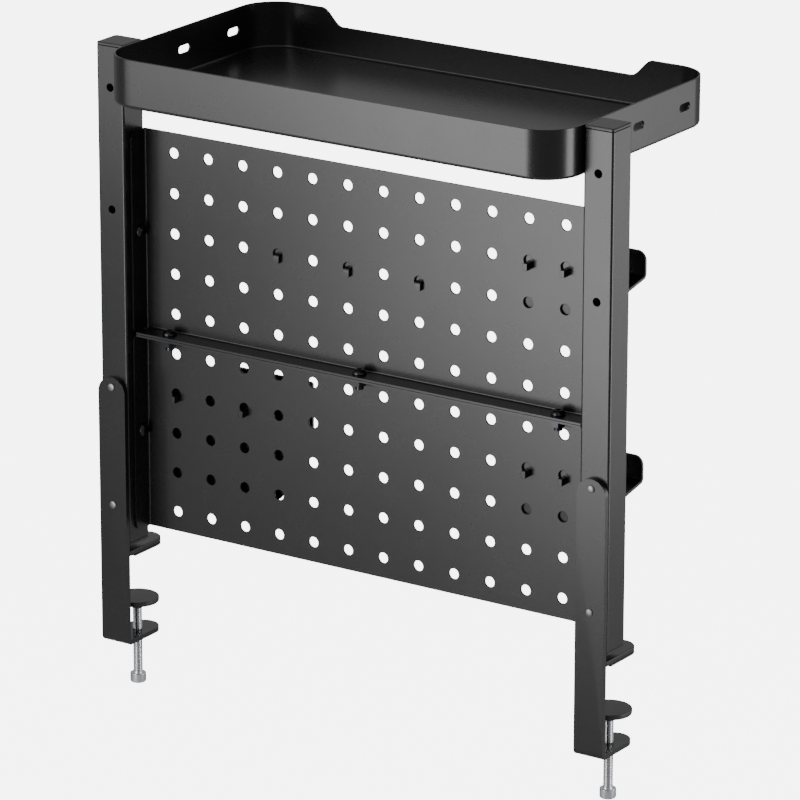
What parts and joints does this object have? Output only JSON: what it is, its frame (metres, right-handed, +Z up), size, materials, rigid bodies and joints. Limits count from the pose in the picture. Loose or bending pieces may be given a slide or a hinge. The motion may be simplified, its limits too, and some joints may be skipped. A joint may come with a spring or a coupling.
{
  "type": "desk pegboard tool wall",
  "caption": "Desk-clamp pegboard tool wall: perforated steel panels between posts, a top tray, clamps with hand-set screws, hooks, tool holders and a trough.",
  "frame": {"origin": "the seat on the desk, midway between the posts: Z = 0 is the underside of the foot pads and Y = 0 is the face of the clamp bars that meets the desk edge", "axes": "+Z up, +Y over the desk towards the user, +X to the right when seen from outside the desk"},
  "size_m": [0.3728, 0.1744, 0.415],
  "materials": {
    "black_powder_coat": "fine-textured semi-gloss black powder coat",
    "bright_zinc": "bright zinc plating",
    "rivet_steel": "dull grey steel",
    "black_oxide": "glossy black oxide",
    "black_plastic": "moulded matte black",
    "grey_rubber": "matte dark grey sheet"
  },
  "bodies": {
    "frame": {"post_left": "black_powder_coat", "post_cap_top_left": "black_plastic", "post_cap_bottom_left": "black_plastic", "clamp_bar_left": "black_powder_coat", "rivet_left_upper": "rivet_steel", "rivet_left_lower": "rivet_steel", "foot_plate_left": "black_powder_coat", "foot_pad_left": "grey_rubber", "post_right": "black_powder_coat", "post_cap_top_right": "black_plastic", "post_cap_bottom_right": "black_plastic", "clamp_bar_right": "black_powder_coat", "rivet_right_upper": "rivet_steel", "rivet_right_lower": "rivet_steel", "foot_plate_right": "black_powder_coat", "foot_pad_right": "grey_rubber", "panel_upper": "black_powder_coat", "panel_lower": "black_powder_coat", "flange_screw_left": "black_oxide", "flange_nut_left": "black_oxide", "flange_screw_middle": "black_oxide", "flange_nut_middle": "black_oxide", "flange_screw_right": "black_oxide", "flange_nut_right": "black_oxide", "side_screw_left_upper": "black_oxide", "side_screw_left_lower": "black_oxide", "side_screw_right_upper": "black_oxide", "side_screw_right_lower": "black_oxide", "tray": "black_powder_coat", "tray_screw_left_near": "black_oxide", "tray_screw_left_far": "black_oxide", "tray_screw_right_near": "black_oxide", "tray_screw_right_far": "black_oxide"},
    "pressure_pad_left": {"pressure_pad_left": "black_plastic"},
    "clamp_screw_left": {"clamp_screw_left": "bright_zinc"},
    "pressure_pad_right": {"pressure_pad_right": "black_plastic"},
    "clamp_screw_right": {"clamp_screw_right": "bright_zinc"},
    "hook_1": {"hook_1": "black_powder_coat"},
    "hook_2": {"hook_2": "black_powder_coat"},
    "hook_3": {"hook_3": "black_powder_coat"},
    "tool_holder_upper": {"tool_holder_upper": "black_powder_coat"},
    "tool_holder_lower": {"tool_holder_lower": "black_powder_coat"},
    "tool_trough": {"tool_trough": "black_powder_coat"}
  },
  "joints": [
    {"name": "pad_slide_left", "type": "slide", "parent": "frame", "child": "pressure_pad_left", "axis": [0, 0, 1], "range_m": [-0.0137, 0.0258]},
    {"name": "screw_turn_left", "type": "hinge", "parent": "pressure_pad_left", "child": "clamp_screw_left", "pos_m": [-0.1726, 0.0202, -0.08295], "axis": [0, 0, 1], "range_deg": [-4930, 9280]},
    {"name": "pad_slide_right", "type": "slide", "parent": "frame", "child": "pressure_pad_right", "axis": [0, 0, 1], "range_m": [-0.0137, 0.0258]},
    {"name": "screw_turn_right", "type": "hinge", "parent": "pressure_pad_right", "child": "clamp_screw_right", "pos_m": [0.1726, 0.0202, -0.08295], "axis": [0, 0, 1], "range_deg": [-4930, 9280]},
    {"name": "hook_1_lift", "type": "slide", "parent": "frame", "child": "hook_1", "axis": [0, 0, 1], "range_m": [0, 0.0015]},
    {"name": "hook_2_lift", "type": "slide", "parent": "frame", "child": "hook_2", "axis": [0, 0, 1], "range_m": [0, 0.0015]},
    {"name": "hook_3_lift", "type": "slide", "parent": "frame", "child": "hook_3", "axis": [0, 0, 1], "range_m": [0, 0.0015]},
    {"name": "tool_holder_upper_lift", "type": "slide", "parent": "frame", "child": "tool_holder_upper", "axis": [0, 0, 1], "range_m": [0, 0.0025]},
    {"name": "tool_holder_lower_lift", "type": "slide", "parent": "frame", "child": "tool_holder_lower", "axis": [0, 0, 1], "range_m": [0, 0.0025]},
    {"name": "tool_trough_lift", "type": "slide", "parent": "frame", "child": "tool_trough", "axis": [0, 0, 1], "range_m": [0, 0.0025]}
  ],
  "couplings": [
    {"joint": "screw_turn_left", "follows": "pad_slide_left", "rad_per_m": 6283.2},
    {"joint": "screw_turn_right", "follows": "pad_slide_right", "rad_per_m": 6283.2}
  ]
}
